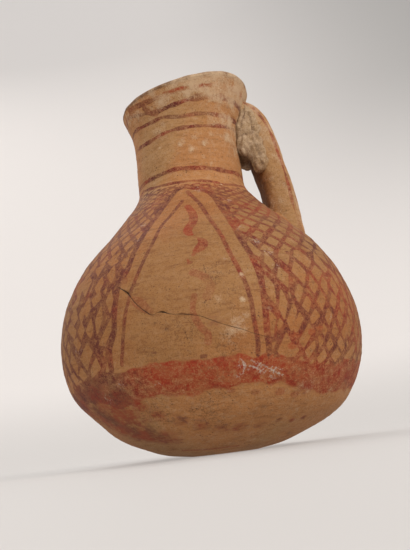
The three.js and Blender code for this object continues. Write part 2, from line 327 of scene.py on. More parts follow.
panel = {
    "leftInner": [
        (-7, 105.4), (-16, 94), (-18.5, 85.4), (-21.3, 77.5), (-23.1, 71.8), (-25, 66), (-27.1, 57.2),
        (-28.1, 51.3), (-29.6, 43), (-30.4, 40), (-31, 37.2),
    ],
    "leftOuter": [
        (-3.5, 114), (-13.6, 112.4), (-22.3, 98.6), (-25.7, 86.8), (-27.2, 80), (-28.4, 73.2),
        (-30.9, 69.2), (-31.8, 59.2), (-32.3, 49.9), (-34.9, 43.9), (-36, 36),
    ],
    "rightInner": [
        (-3.5, 111), (3.6, 101.8), (6.9, 91), (9.1, 83.3), (10.5, 75), (12.4, 66.2), (13.6, 60.3),
        (14.2, 53.3), (14.3, 46.7), (14.8, 38.9), (14.6, 33.8),
    ],
    "rightOuter": [
        (-3.5, 114), (12.1, 108.9), (15, 98.1), (15.7, 89), (16.5, 80.1), (18.1, 72.4), (18.9, 64.5),
        (18.9, 57.1), (18.5, 50.5), (18.2, 41.7), (18.5, 35.5), (18, 30),
    ],
    "lines": [  # half width and cover
        ("leftInner", 0.85, 0.9), ("leftOuter", 1.35, 1.0), ("rightInner", 0.95, 0.95),
        ("rightOuter", 1.3, 1.0),
    ],
    "wavy": [  # line, half width and cover
        (
            [(-3.9, 101.3), (-1.4, 97), (-1.2, 92.1), (-3.8, 88), (-3.6, 85.8), (-2.2, 84.6)],
            [1.4, 1.7, 1.9, 1.9, 1.6, 0.6], 0.9,
        ),
        ([(-1.8, 83.6), (1, 82.6)], 0.35, 0.45),
        ([(0.6, 82), (1.6, 80.4), (1, 78.6), (-1.4, 76.8)], [1.0, 1.9, 2.2, 1.3], 0.9),
        ([(-1.4, 76.6), (-2.5, 75)], 0.8, 0.6),
        ([(-4.6, 73.2), (-4.1, 72.4)], 0.5, 0.8),
        ([(-3.1, 67.4), (-0.8, 66), (0.8, 64.6)], 1.6, 0.5),
        ([(1.2, 63.6), (2.2, 60.5), (0.5, 57)], 1.7, 0.26),
        ([(-3.4, 58), (-4.3, 53), (-4.2, 50.3)], 1.1, 0.55),
        ([(-4.2, 50.3), (-2.7, 46.3), (-0.6, 43), (-0.9, 40.4)], 1.35, 0.6),
    ],
    "backTurn": 179,  # the back repeats the front's lines
    "wavyTint": 0.62,
    "rustFrom": (-45, 25),  # azimuths where the paint turns from maroon to rust
}
broad = {
    "top": [
        (-41.8, 36.5), (-36.2, 34.8), (-24.2, 35.5), (-13.8, 35.3), (-4.2, 34.3), (5.5, 34.8), (10.2, 34.5),
        (14.5, 33.4), (18, 34.3), (22.2, 32.8), (28, 31), (34.5, 29.8), (42, 29), (51, 29.5), (58.2, 31),
    ],
    "bottom": [
        (-51.8, 26.3), (-46.8, 23.5), (-38.5, 22.4), (-30.5, 22.5), (-25, 24), (-13.5, 23.3), (-2.5, 23.3),
        (8.2, 23.8), (19, 23.8), (25.2, 22.3), (32.2, 21), (41, 19), (52.2, 17.8), (59, 19.3),
    ],
    "backTop": 30.5,
    "backBottom": 21.5,
    "edges": (0.5, 0.28),  # how fast the paint thins to its top and its lower edge
    "redFrom": (-40, -18),  # azimuths
    "dullFrom": (22, 34),
}
net = {
    "cells": [  # openings between the strokes: azimuth and height of four corners
        (-20.8, 112, -21.2, 107.8, -29.2, 104.5, -31.8, 107.5),
        (-30.8, 106.3, -28, 102.8, -34.2, 99.3, -36.8, 103.8),
        (-32.5, 91.3, -28.8, 86.5, -29.8, 83.3, -32.8, 87.8),
        (-45.5, 90.5, -43.2, 87, -47.2, 83, -49.5, 87), (-38, 87.3, -34.8, 83.5, -37.5, 79.8, -40.2, 83.8),
        (-29.2, 81.8, -28, 78.5, -29.8, 75.3, -32, 78.5),
        (-27.2, 97.3, -26.8, 94.5, -28.5, 91.8, -30.5, 95.5),
        (-46.2, 84.5, -42, 80.5, -44, 75.8, -47.5, 79.5),
        (-52.8, 84.3, -50.2, 80.3, -53.2, 76.3, -58, 80.3),
        (-37.5, 82.5, -34, 79.5, -37.2, 78.3, -40.8, 81.5),
        (-35.5, 77.8, -33.8, 73.8, -34.8, 70.3, -38, 74.5), (-27.5, 72.3, -27.5, 70.3, -29, 69, -31, 70.8),
        (-41, 74.5, -39.2, 71.5, -40.8, 66.8, -43.5, 70.5), (-54, 78, -51, 74.3, -55.5, 69.5, -62, 75.3),
        (-50.8, 77.3, -47.5, 74.5, -49.2, 68.3, -53.2, 72.8), (-34.2, 67, -33, 62.8, -33.8, 58, -36, 63),
        (-31, 66.8, -28.5, 64.5, -29.5, 61.8, -32, 65), (-40.5, 67.8, -38.8, 65, -42, 62.3, -43.8, 65.5),
        (-53.5, 70.3, -53.2, 66, -55.8, 63.3, -59.5, 66.8),
        (-46.2, 67, -43.8, 61.8, -45.8, 59, -48.5, 63.5),
        (-38.2, 61.3, -37.5, 56.3, -39.8, 50.5, -40.8, 56.3),
        (-49.5, 63.8, -47.5, 60.8, -48.8, 57, -51, 61.3),
        (-54.2, 63.8, -52.2, 59.8, -54.2, 57.8, -58.2, 62.3),
        (-43.2, 57.5, -42, 52.5, -43.5, 50, -45.8, 53.5),
        (-32.8, 55.8, -32.8, 52, -36.8, 45.8, -39.2, 46.5), (-49, 57.5, -47, 54, -49, 50.5, -50.8, 54.3),
        (-57.5, 59.5, -52.5, 55, -54, 52, -60.2, 57.3), (-51.8, 52, -49.8, 48.8, -51.5, 46.8, -55, 51),
        (-65.2, 66.5, -60.2, 63.5, -61, 59.5, -66, 63.3), (-41.8, 41.8, -40.8, 37.8, -46.8, 34.5, -46, 38),
        (-51.8, 39.8, -49.5, 36.3, -52.5, 35, -54.5, 37.5),
        (-45.8, 48.3, -43.5, 44.5, -48.2, 38.5, -51, 43.3), (-34, 44, -32.2, 39, -35, 36, -38.5, 36),
        (-57.2, 47.5, -54, 41.5, -55.5, 37.8, -59.2, 44), (-63, 48.3, -61, 43.3, -60.8, 39, -64.8, 44.8),
        (-58.5, 39, -57, 36, -60, 34, -62.2, 38.5), (-55, 35.3, -53, 33.8, -57.2, 32.8, -58.8, 34.5),
        (-47.2, 34.8, -46.2, 33, -50, 31.5, -50.8, 33.3), (34.9, 69.2, 37.7, 64.9, 35.3, 60, 32, 64.9),
        (45.1, 68.3, 46.9, 65.5, 42.8, 61.5, 41.5, 65.1), (46.2, 63, 47.4, 61, 45.1, 56, 43.5, 59.2),
        (20.8, 63, 22.8, 59.2, 22.3, 52.1, 20.1, 56.5), (32.7, 59.2, 34, 57.8, 31.2, 52.6, 30.3, 55.1),
        (25.2, 56.9, 26.4, 52.4, 24.6, 46.2, 23.5, 50.1), (35, 54.4, 36, 52.4, 34.4, 48.7, 32.5, 50.8),
        (42.4, 56.5, 43.5, 53.7, 40.8, 49.6, 39.1, 52.4), (48.5, 56.7, 50.3, 54.6, 47.8, 50.1, 46, 52.4),
        (54.2, 55.5, 55.5, 52.8, 53.3, 48.7, 51.9, 51.5), (19.4, 49.4, 21.4, 46.5, 19.9, 40.1, 18.8, 45.1),
        (23, 46, 23.7, 44.6, 22.4, 42.4, 22.1, 44.2), (28.9, 51.5, 29.5, 49.2, 26.9, 41.7, 25.7, 45.1),
        (30.8, 47.8, 31.7, 46, 28.3, 40.5, 27.9, 42.8), (37.6, 49.2, 39.1, 47.1, 35.5, 44.2, 35.1, 46),
        (44.2, 49.6, 45.8, 47.4, 43.5, 43.7, 42.1, 46.5), (50.8, 49.6, 52.3, 46.9, 50.3, 43.5, 48.7, 46.5),
        (34, 43.7, 35.3, 41.5, 31.5, 35.5, 29.9, 37.8), (40.8, 43.7, 42.1, 41.7, 40.9, 39.6, 39.6, 41.5),
        (46.7, 44.2, 48.4, 41.2, 46.9, 39.4, 45.1, 41), (53.7, 44.2, 54.6, 41, 52.4, 38.7, 50.8, 41),
        (56.5, 47.8, 59, 44.2, 56, 39.6, 54.4, 42.8), (24.9, 40.5, 28, 32.6, 23.5, 32.3, 21.8, 34.4),
        (28.4, 35.3, 29.3, 34.4, 28.3, 33.5, 27.4, 34.4), (36, 37.1, 36.4, 35.3, 33.8, 31.5, 32.4, 33.7),
        (40.8, 34, 42.3, 31.7, 39.2, 29.2, 38.3, 31), (43.7, 38.3, 45.1, 36, 43.3, 34.2, 42.1, 36),
        (47.8, 34.4, 50.3, 32.4, 47.8, 29.9, 45.3, 31.9), (30.8, 31.7, 32.8, 29.2, 31, 27.4, 28.5, 29.4),
        (49.9, 39, 52.4, 35.5, 51, 34, 48, 37.1), (59, 52.4, 60.5, 48.7, 59.9, 44.6, 57.8, 49.6),
        (18.5, 109.5, 28, 108.5, 32, 106, 25, 106.5), (19.2, 105.8, 25.5, 105, 30.5, 103.3, 22.5, 103.3),
        (22, 102.8, 31.8, 102.3, 39.5, 101, 28, 100.8), (20.5, 99.3, 32.2, 100, 43.5, 99, 32.8, 98.5),
        (20.5, 97.8, 24.2, 97, 26.8, 95.5, 21.2, 96), (19, 95.3, 22.2, 94.3, 24.2, 90, 20.5, 91.3),
        (17.8, 88, 21, 88.3, 21.8, 82.3, 19.8, 81.5), (25, 84.3, 29.5, 78.3, 26.5, 73.3, 23.2, 79),
        (35.8, 82, 37.5, 77.5, 35.2, 75.8, 32.5, 79.5), (31.5, 75.5, 33.2, 71.8, 31, 68, 28.8, 71.3),
        (24, 73.3, 25.8, 68.5, 24.2, 66, 22.5, 69), (19, 78.8, 22, 73.3, 21, 71.8, 18.2, 74.3),
        (39, 76.5, 43.8, 70.3, 40.2, 67.3, 36.2, 72), (27.2, 66.3, 29.5, 63.5, 28, 58.5, 25.5, 62.8),
        (41, 81.8, 47.8, 75.8, 44.5, 75.3, 40.5, 78.5), (49, 84.5, 51.5, 82.3, 49.2, 76.3, 47, 79.5),
        (50, 75.3, 52.8, 68, 49.2, 65.8, 46.8, 71), (54.2, 78.5, 58.5, 76.3, 57, 71, 51.8, 74.5),
        (52.5, 64, 54.2, 59, 51, 56, 50, 60.3), (54.8, 68, 57.5, 65.5, 56.2, 60.3, 54.5, 62.3),
        (58.2, 61.5, 60, 58, 60, 53.8, 57.5, 56), (60.5, 37.3, 61.5, 35, 56, 29, 53.5, 31),
    ],
    "traced": (-66, 73),  # strokes take over from the cells beyond these azimuths
    "sides": (6.6, 32, 0.78, 81),  # degrees between strokes, lean from upright, half width and seed
    "root": (11.5, 62, 0.95, 91),  # flatter strokes just under the neck
    "rootFrom": 106,
    "underRoot": 1.9,  # the net starts so far under the lowest neck band
    "from": 27,
    "cover": 0.95,
    "filledTo": 100,
    "grow": (0.32, 0.42),
    "bare": 1.9,  # farther than this from every opening the strokes fill in
    "shoulder": (10, 48, 1.05, 96),
    "shoulderFrom": (19, 77),  # azimuth and height
    "leftShoulder": (8, 36, 0.95, 98),
    "leftShoulderFrom": (-24, 80),
}


def cellField(keep):
    # distance outside the nearest opening, negative inside one
    field = np.where(keep, 3.0, -4.0)
    for cell in np.array(net["cells"], float).reshape(-1, 4, 2):
        turns, levels = cell[:, 0], runAt(cell[:, 1])
        near = keep & (azimuths > turns.min() - 4) & (azimuths < turns.max() + 4)
        near &= (runs > levels.min() - 3) & (runs < levels.max() + 3)
        x0, y0 = np.roll(turns, 1), np.roll(levels, 1)
        wide, tall, scale = turns - x0, levels - y0, scales[near, None]
        x, y = azimuths[near, None] - x0, runs[near, None] - y0
        distance = offSegment(x * scale, y, wide * scale, tall)[0].min(1, initial=3)
        crossed = ((y < 0) != (y < tall)) & (x < wide * y / np.where(tall, tall, 1))
        field[near] = np.minimum(field[near], np.where(crossed.sum(1) % 2, -distance, distance))
    return field - np.where(azimuths < 0, *net["grow"])


def strokeNet(spacing, lean, halfWidth, seed):
    # slanting strokes both ways, closer together towards the neck
    climb = np.concatenate([[0], np.cumsum(np.diff(fineRun) / profileRadius(fineZ[1:]))])
    climb = np.degrees(np.interp(runs, fineRun, climb))
    slant, across = math.tan(math.radians(lean)), math.cos(math.radians(lean))
    best = np.full(azimuths.shape, -4.0)
    for way in (1, -1):
        wander = 0.7 * wallRipple(seed + way, 16, (2, 9), (40, 120))
        turns = (azimuths + way * slant * climb + wander) / spacing
        off = np.abs(turns - np.round(turns)) * spacing * scales * across
        uneven = 1 + 0.22 * wallRipple(seed + 2 + way, 18, (4, 20), (9, 40))
        best = np.maximum(best, halfWidth * uneven * scales**0.5 - off)
    return best


def paintNet(rust):
    back, wander = panel["backTurn"], 2 * ripple(0, runs, 86, 6, (0, 0), (9, 30))
    left, right = lineAzimuth(panel["leftOuter"]), lineAzimuth(panel["rightOuter"])
    level, *_, points = bands["neckRoot"]
    sides = (azimuths > right) & (azimuths < left + back) | (azimuths < left) & (azimuths > right + back - 360)
    sides &= outside & (runs < roundLine(points, level) - net["underRoot"]) & (runs > runAt(net["from"]))
    traced = (azimuths > net["traced"][0] + wander) & (azimuths < net["traced"][1] + wander)
    strokes, openings = strokeNet(*net["sides"]), cellField(sides)
    filled = np.minimum(openings, np.maximum(strokes, net["bare"] - openings))
    openings = np.where(heights < net["filledTo"], filled, openings)
    result = np.where(traced, openings, strokes)
    uneven = 2.5 * wallRipple(87, 10, (3, 12), (9, 30))
    (rightFrom, rightUp), (leftFrom, leftUp) = net["shoulderFrom"], net["leftShoulderFrom"]
    for name, there in (
        ("shoulder", (azimuths > rightFrom + uneven) & (heights > rightUp + uneven)),
        ("leftShoulder", (azimuths < leftFrom - uneven) & (heights > leftUp + uneven)),
        ("root", heights > net["rootFrom"]),
    ):
        result = np.where(traced & there, strokeNet(*net[name]), result)
    lay(np.where(sides, result, -4), rust, net["cover"])


def paintJug():
    print("jug: bands, panel, net and broad band")
    rust = 0.1 + 0.3 * smooth(*panel["rustFrom"], azimuths) + 0.15 * wallRipple(11, 14, (2, 12), (18, 60))
    for name, (level, half, tint, cover, seed, points) in bands.items():
        uneven = half * (1 + 0.12 * ringRipple(seed, 12, (3, 24)))
        fade = (0.3 if "Rim" in name else 0.15) * ringRipple(seed + 30, 8, (2, 14))
        lay(uneven - np.abs(runs - roundLine(points, level)), tint * 0.5 + rust * 0.5, cover + fade)
    for turn in (0, panel["backTurn"]):
        for name, half, cover in panel["lines"]:
            brush(panel[name], half, rust, cover, turn)
        for line, half, cover in panel["wavy"]:
            brush(line, half, panel["wavyTint"], cover, turn)
    paintNet(rust)
    top = roundLine(broad["top"], broad["backTop"]) + 0.45 * ringRipple(41, 20, (6, 50))
    bottom = roundLine(broad["bottom"], broad["backBottom"]) + 0.5 * ringRipple(42, 20, (6, 50))
    middleRed = 0.3 + 0.6 * smooth(*broad["redFrom"], azimuths) - 0.2 * smooth(*broad["dullFrom"], azimuths)
    worn = 0.94 + 0.1 * wallRipple(43, 40, (4, 50), (3, 14))
    topEdge, lowEdge = broad["edges"]
    lay(np.minimum(topEdge * (top - runs), lowEdge * (runs - bottom)), middleRed, np.minimum(worn, 1))


paintJug()

marks = {
    "crack": [
        (-31.5, 67.6), (-30.4, 66.9), (-28.6, 65.6), (-26.8, 64), (-25.2, 61.6), (-23.9, 59.6), (-21.6, 56.8),
        (-19.7, 54.8), (-17.8, 53.2), (-15.9, 53.7), (-14.1, 53.7), (-11.4, 52.3), (-7.3, 51.5), (-2.4, 50),
        (0.6, 48.2), (4, 46.2), (7.4, 44.6), (10.6, 43.2), (13.4, 41.7), (18.2, 39.8),
    ],
    "crackHalfWidths": [
        0.02, 0.07, 0.18, 0.24, 0.06, 0.1, 0.05, 0.13, 0.05, 0.02, 0.2, 0.03, 0.06, 0.03, 0.05, 0.02, 0.05,
        0.02, 0.02, 0.0,
    ],
    "chips": [(28, 115.8, 1.1, 0.5), (-16, 13.8, 1.6, 0.5), (-27, 64.2, 1.3, 0.6), (-14.1, 53.7, 0.7, 0.4)],
    # pale deposits, with painted sheen on the panel and painted light low on the right belly
    "pale": [  # azimuth, height, radius, strength
        (-6.5, 137.5, 3, 0.5), (5, 134.5, 3.5, 0.6), (16, 130, 2.5, 0.5), (24, 127, 2.5, 0.5),
        (27, 142, 3.5, 0.6), (-29, 138, 2.5, 0.4), (10, 140, 4, 0.4), (28, 115.8, 1.2, 1.2),
        (9, 71, 5, 0.3), (9, 45, 11, 0.42), (-20, 159.5, 4, 0.55), (5, 159.3, 5, 0.55), (-42, 161, 3, 0.6),
        (-28, 147.4, 8, 0.35), (4.5, 43, 6, 0.5), (3.8, 55, 4, 0.35), (12.8, 64.5, 2, 0.6),
        (11.5, 54.3, 2.4, 0.6), (19.8, 50, 2.4, 0.6), (12, 48, 5, 0.35), (-3, 139, 3, 0.4),
        # painted light: the last two broad spots make the lower right belly paler
        (18, 137, 3, 0.45), (34, 16, 24, 0.26), (52, 22, 20, 0.2),
    ],
    "chalk": [
        (9, 31, 3.2, 1), (12, 29.5, 3, 0.9), (16, 28.5, 3.6, 0.9), (20.5, 26, 3.4, 0.9), (8, 27, 3, 0.7),
        (22, 79, 4, 0.8), (25, 74, 4.5, 0.8), (18.5, 86, 4, 0.7), (26, 67, 4, 0.7), (-29, 96, 5, 0.6),
        (-27, 88, 4, 0.6), (20, 60, 5, 0.5), (8, 72, 3, 0.5), (14, 66, 2.5, 0.6), (-52, 46, 9, 0.5),
        (-34, 30, 5, 0.6), (44, 47, 4, 0.6), (-8, 22, 4, 0.4), (22, 104, 5, 0.6), (5, 112, 6, 0.6),
        (10, 46, 7, 0.5), (-20, 28, 5, 0.5), (-44, 26, 6, 0.5),
    ],
    "scrapes": [  # line, half width
        ([(8.8, 33.2), (10, 30.5), (9.2, 27.6)], [0.2, 0.55, 0.15]),
        ([(14.5, 31.3), (18, 29), (21.8, 26.8), (25, 25.5)], [0.15, 0.5, 0.4, 0.15]),
        ([(10.6, 30.6), (13.8, 29.3), (17.2, 27)], [0.2, 0.55, 0.15]),
        ([(12.2, 32.3), (15.2, 29.8)], 0.3),
        ([(19.5, 29.4), (23.6, 27.6)], 0.25),
    ],
    "wash": [
        (-58, 20, 14, 0.8), (-51, 16, 15, 0.85), (-45, 12, 13, 0.9), (-38, 11, 12, 0.8), (-31, 9, 11, 0.75),
        (-41, 18, 15, 0.7), (-68, 24, 14, 0.7), (-52, 27, 12, 0.7), (-44, 22, 12, 0.7), (-36, 17, 10, 0.55),
        (-62, 31, 9, 0.5), (-47, 30, 10, 0.6), (-38, 25, 9, 0.65), (-31, 21.5, 6, 0.6), (29, 10, 2.6, 0.7),
        (37.5, 9.5, 3.2, 0.8), (45, 10, 2.8, 0.8), (-25, 17.5, 6, 0.5), (-17, 14.8, 6, 0.55),
        (-9, 12, 6, 0.55), (0, 10, 6, 0.5), (9, 9.3, 6, 0.5), (19, 9.3, 5, 0.45), (36, 21, 6, 0.7),
        (60, 24, 7, 0.6), (2, 47, 7, 0.3), (22, 40, 6, 0.4), (120, 16, 9, 0.7), (160, 12, 8, 0.6),
        (-120, 14, 9, 0.7), (-90, 10, 7, 0.5), (-165, 19, 6, 0.5), (86, 12, 6, 0.5),
    ],
    "rimStrokes": [  # line, half width, tint, cover
        ([(-15, 162.5), (-6.8, 162), (4, 161.8), (9.2, 161.5)], [0.2, 0.7, 0.95, 0.2], 1.1, 0.95),
        ([(14.8, 161.5), (23, 161.8), (29, 161.3)], [0.1, 0.6, 0.1], 1, 0.75),
        ([(-57, 163.5), (-44, 162.5), (-30, 161.5)], 1.5, 0.4, 0.9),
        ([(-38, 159.5), (-33, 156), (-27, 154.8)], 1.4, 0.35, 0.8),
        ([(100, 162), (118, 161)], 1.2, 0.8, 0.7),
        ([(165, 162), (185, 161.5)], 1.3, 0.6, 0.7),
        ([(-140, 161.5), (-118, 162)], 1.2, 0.9, 0.7),
    ],
    "smears": [  # line, half width, tint, cover
        ([(-33, 3.4), (-12, 2.6), (11, 2.6)], 0.9, 0.6, 0.7),
        ([(-25.6, 61.6), (-22, 58.6), (-18.2, 54.4)], [0.8, 2.2, 1.3], 0.45, 0.42),
    ],
    "drops": [  # azimuth, height, half width, tint, cover
        (-18.5, 39.3, 0.3, 0.1, 0.9), (-2.8, 35.5, 0.8, 0.2, 0.7), (-3.8, 71.8, 0.7, 0.4, 0.6),
        (-23.5, 66.6, 0.8, 0.2, 0.5), (2, 64, 0.6, 0.3, 0.4), (28.5, 39.5, 1.3, 0.95, 0.7),
        (26.8, 36, 1.2, 0.9, 0.7), (35, 40.8, 1.3, 0.95, 0.6), (38.8, 42.3, 1.1, 0.9, 0.6),
        (-29, 69.5, 1.4, 0.3, 0.5), (60, 22, 2.4, 0.7, 0.5), (14, 21, 1.2, 0.5, 0.5),
        (5, 22.4, 1, 0.6, 0.5), (24, 20, 1.6, 0.6, 0.5), (31, 18.6, 1.4, 0.6, 0.6),
    ],
    "dirtAndShade": [
        (-26.5, 63.8, 1.5, 0.5), (-13.6, 47, 1.2, 0.5), (3, 34.5, 2.5, 0.5), (51, 5, 3, 0.5),
        (-17, 50, 1, 0.4), (4, 66, 9, 0.26), (8, 58, 8, 0.2), (-8, 45, 16, 0.22), (-20, 40, 9, 0.2),
        (4, 39, 10, 0.2), (-12, 58, 6, 0.15), (-5, 16, 18, 0.24), (-25, 18, 14, 0.26), (20, 14, 16, 0.12),
        (40, 15, 12, 0.1), (0, 29, 16, 0.2), (30, 26, 12, 0.2), (150, 48, 20, 0.22), (-150, 30, 18, 0.22),
        (110, 60, 16, 0.15), (-110, 50, 20, 0.2),
    ],
    "brown": [
        (-12, 44, 26, 0.4), (6, 40, 20, 0.25), (-24, 50, 16, 0.2), (150, 46, 26, 0.35),
        (-140, 60, 26, 0.25),
    ],
}


def spotField(spots):
    total = np.zeros(azimuths.shape)
    for azimuth, z, radius, strength in spots:
        distance = np.hypot(aroundFrom(azimuths, azimuth) * scales, runs - runAt(z))
        total = np.maximum(total, strength * smooth(radius, 0, distance))
    return total * outside


wear = {  # heights or azimuths where it starts and where it is full
    "rimPale": (152, 160),
    "rimPaleFront": (-30, 16),
    "rimPaleBack": (150, 90),
    "handlePale": (80, 26),  # degrees beside the handle's azimuth
    "handlePaleUp": (122, 150),
    "handleAt": 80,
    "lipShade": (164.3, 165.4),
    "warmNeck": (105, 125),
    "warmFoot": (34, 22),
    "warmFootFrom": (-25, 5),
    "brownTop": (119, 104),
    "brownFoot": (26, 42),
    "leftFront": (-15, -50),
    "leftBack": (-150, -110),
    "leftFoot": (34, 20),
}


def fadeIn(name, x):
    return smooth(*wear[name], x)


def ageJug():
    # besides real marks this paints shade on the lip and low on the left, and sheen among the pale spots
    print("jug: crack, chips, deposits and stains")
    _, side, wide = strokeFields(marks["crack"], marks["crackHalfWidths"])
    within = (azimuths > marks["crack"][0][0] - 0.3) & (azimuths < marks["crack"][-1][0] + 0.3)
    painted["crackSide"] = np.where(outside, side, 4)
    painted["crackWide"] = np.where(outside & within, wide, -1)
    for name in ("pale", "wash", "dirtAndShade", "chalk"):
        painted[name] = spotField(marks[name])
    for line, half in marks["scrapes"]:
        scrape = 1.8 * smooth(-0.35, 0.2, strokeFields(line, half)[0])
        painted["chalk"] = np.maximum(painted["chalk"], scrape * outside)
    rimCover = 0.4 + 0.2 * fadeIn("rimPaleFront", azimuths) * fadeIn("rimPaleBack", azimuths)
    rimCover = fadeIn("rimPale", heights) * (rimCover + 0.05 * wallRipple(8, 40, (3, 20), (5, 24)))
    besideHandle = np.abs(azimuths - wear["handleAt"]) + 10 * wallRipple(88, 30, (2, 16), (6, 30))
    edge = 0.5 * fadeIn("handlePale", besideHandle) * fadeIn("handlePaleUp", heights)
    painted["pale"] = np.maximum(painted["pale"], np.maximum(rimCover, edge) * outside)
    for line, half, tint, cover in marks["rimStrokes"]:
        stroke = strokeFields(line, half)[0]
        lay(stroke, tint, cover)
        painted["pale"] = painted["pale"] * (1 - 0.7 * smooth(-0.6, 0.6, stroke))
    # painted shade: a dark line along the top of the lip
    painted["dirtAndShade"] = np.maximum(painted["dirtAndShade"], 0.95 * fadeIn("lipShade", heights) * outside)
    for line, half, tint, cover in marks["smears"]:
        brush(line, half, tint, cover)
    for azimuth, z, half, tint, cover in marks["drops"]:
        brush([(azimuth - 0.6, z), (azimuth + 0.6, z)], half, tint, cover)
    fired = 0.5 + 0.28 * wallRipple(3, 16, (1, 5), (40, 160)) + 0.25 * fadeIn("warmNeck", heights)
    painted["warm"] = fired + 0.35 * fadeIn("warmFoot", heights) * fadeIn("warmFootFrom", azimuths)
    # the shade mark: darker over the belly and shoulder and in the brown patches, and painted shade low on the left
    # side
    body = fadeIn("brownTop", heights) * fadeIn("brownFoot", heights)
    body = body * (0.9 + 0.12 * wallRipple(7, 10, (1, 4), (50, 140)))
    left = 0.6 * fadeIn("leftFront", azimuths) * fadeIn("leftBack", azimuths) * fadeIn("leftFoot", heights)
    painted["shade"] = body + spotField(marks["brown"]) + left


ageJug()

relief = {
    "handWobble": 0.22,
    "fingerMarks": 0.05,
    "wipeRidges": 0.022,
    "inside": 0.6,  # of the relief outside
    "crackDepth": 0.4,
    "crackWidth": 0.26,
    "crackStep": 0.09,  # one side of the crack stands higher
    "stepReach": 2.5,
    "ground": (0.5, 9),  # no relief under the first height, all of it from the second
}


def shapeWall():
    print("jug: relief")
    wobble = relief["handWobble"] * wallRipple(1, 14, (1, 5), (45, 150))
    fingers = relief["fingerMarks"] * wallRipple(2, 40, (5, 24), (9, 26))
    ridges = relief["wipeRidges"] * wallRipple(4, 40, (0, 3), (1.8, 4.5))
    side, wide = painted["crackSide"], painted["crackWide"]
    groove = np.clip(wide / 0.3, 0, 1.3) * np.exp(-((side / relief["crackWidth"]) ** 2))
    step = np.clip(wide / 0.2, 0, 1) * np.exp(-((side / relief["stepReach"]) ** 2)) * np.where(side > 0, 1, -1)
    height = smooth(*relief["ground"], heights) * (wobble + fingers + ridges) - spotField(marks["chips"])
    height = height - relief["crackDepth"] * groove + relief["crackStep"] * step
    height = height * np.where(rowShare > 0.5, relief["inside"], 1)
    return wallPoints + wallNormals * height[..., None]


wallShape = shapeWall()


def addMarks(mesh, values):
    for name, plain in plainMarks.items():
        data = np.asarray(values.get(name, plain), np.float32).ravel()
        spread = np.ascontiguousarray(np.broadcast_to(data, len(mesh.vertices)))
        mesh.attributes.new(name, "FLOAT", "POINT").data.foreach_set("value", spread)


def linkNew(name, data):
    thing = bpy.data.objects.new(name, data)
    bpy.context.scene.collection.objects.link(thing)
    return thing


def makeMesh(name, points, faces, values=None, sharpAngle=30):
    mesh = bpy.data.meshes.new(name)
    mesh.from_pydata((np.asarray(points) * mm).tolist(), [], faces)
    if values is not None:
        addMarks(mesh, values)
    mesh.shade_smooth()
    mesh.set_sharp_from_angle(angle=math.radians(sharpAngle))
    return linkNew(name, mesh)


def stripFaces(low, high, count, start=0):
    i = np.arange(count)
    j = (i + 1) % count
    return (np.stack([low * count + i, low * count + j, high * count + j, high * count + i], 1) + start).tolist()


def tubeFaces(rings, count, start=0):
    # strips from ring to ring, and fans to the two points that follow the rings
    faces = [face for k in range(rings - 1) for face in stripFaces(k, k + 1, count, start)]
    end, last = start + rings * count, start + (rings - 1) * count
    around = [(i, (i + 1) % count) for i in range(count)]
    faces += [(end, start + j, start + i) for i, j in around]
    return faces + [(end + 1, last + i, last + j) for i, j in around]


def coursePiece(name, low, high):
    # rows up the outside, then rows down the inside, closed at both seams
    first, last = rowMarks["outer", low], rowMarks["inner", low] + 1
    if high is None:
        rows = list(range(first, last))
    else:
        rows = [*range(first, rowMarks["outer", high] + 1), *range(rowMarks["inner", high], last)]
    count = len(rows)
    faces = [face for k in range(count) for face in stripFaces(k, (k + 1) % count, len(columns))]
    values = {key: data[rows] for key, data in painted.items()}
    return makeMesh(name, wallShape[rows].reshape(-1, 3), faces, values)


def basePiece(name):
    rows = [*range(rowMarks["outer", jug["baseTop"]] + 1), *range(rowMarks["inner", jug["baseTop"]], len(rowList))]
    points = np.vstack([wallShape[rows].reshape(-1, 3), [(0, 0, 0), (0, 0, jug["baseTop"])]])
    values = {key: np.append(data[rows].ravel(), data[[0, -1], 0]) for key, data in painted.items()}
    return makeMesh(name, points, tubeFaces(len(rows), len(columns)), values)


def holdInWall(points, depth=2.2):
    # what joins the jug ends inside its wall, so that nothing shows in the mouth
    points = np.array(points, float)
    azimuth = np.degrees(np.arctan2(points[:, 0], -points[:, 1]))
    z = points[:, 2] - lift(points[:, 2] - 2.5, azimuth)
    reach = np.hypot(points[:, 0], points[:, 1])
    least = outerRadius(np.minimum(z, roundStart), azimuth) - depth
    grow = np.where(z > jug["neckSeam"] + 2, np.maximum(least / np.maximum(reach, 1e-6), 1), 1)
    points[:, :2] *= grow[:, None]
    return points


def shoulderTop(reach, azimuth):
    # height of the shoulder's outside at a distance from the axis
    z = np.linspace(124, 60, 400)
    return np.interp(reach - sideShift(90) * np.sin(np.radians(azimuth)), profileRadius(z), z)


wallFinish = {
    "streakTallness": 6, "streaks": 0.25, "specks": 0.3, "pits": 0.14,
    "wear": 0.62, "grainBump": 0.16, "streakBump": 0.1, "roughness": 0.9,
}
handleFinish = {
    "streakTallness": 0.35, "streaks": 0.3, "specks": 0.26, "pits": 0.1,
    "wear": 0.6, "grainBump": 0.18, "streakBump": 0.14, "roughness": 0.9,
}
handle = {
    "azimuth": 97,
    "thickness": 15.5,
    "width": 21,
    "flare": 0.08,
    "squareness": 2.35,
    "path": [
        (22.65, 161.8), (30.6, 157.8), (35.5, 148.3), (39.4, 129.8), (42, 114.55), (42.6, 99.3),
        (42.6, 83.8),
    ],
    "rings": 120,
    "sides": 112,
    "wobble": 0.25,
    "lineTurns": (298, 62),  # round the section from its outer side
    "lineScale": 0.15,  # mm for one degree
    "lineHalfWidth": 1.0,
    "lineEnd": 70,
    "footTop": 118,  # under this the handle stands on the shoulder
    "ridges": 0.05,
    "node": "strap_handle",
    "material": "handleClay",
    **handleFinish,
}


